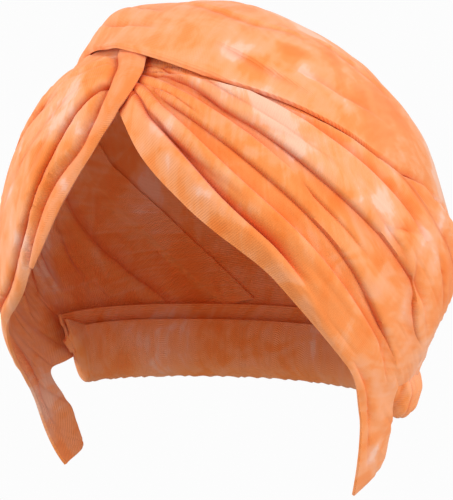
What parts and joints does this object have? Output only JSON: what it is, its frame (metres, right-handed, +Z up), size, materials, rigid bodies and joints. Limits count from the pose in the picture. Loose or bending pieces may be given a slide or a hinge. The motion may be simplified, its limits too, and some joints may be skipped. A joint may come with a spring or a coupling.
{
  "type": "turban hat",
  "caption": "Pre-tied turban hat in soft tie-dyed jersey: side pleats fan out of a strapped twist above the forehead, under a smooth crown wrap, to a gathered nape.",
  "frame": {"origin": "the head seat, where the inside of the crown rests on the top of the head", "axes": "+X to the wearer's left, +Y to the back of the head, +Z up"},
  "size_m": [0.1884, 0.1908, 0.2054],
  "materials": {
    "jersey": "matte ribbed jersey, tie-dyed peach and orange"
  },
  "bodies": {
    "root": {"crown_wrap": "jersey", "left_fan": "jersey", "right_fan": "jersey", "knot_strap": "jersey", "nape_gather": "jersey"}
  },
  "joints": []
}
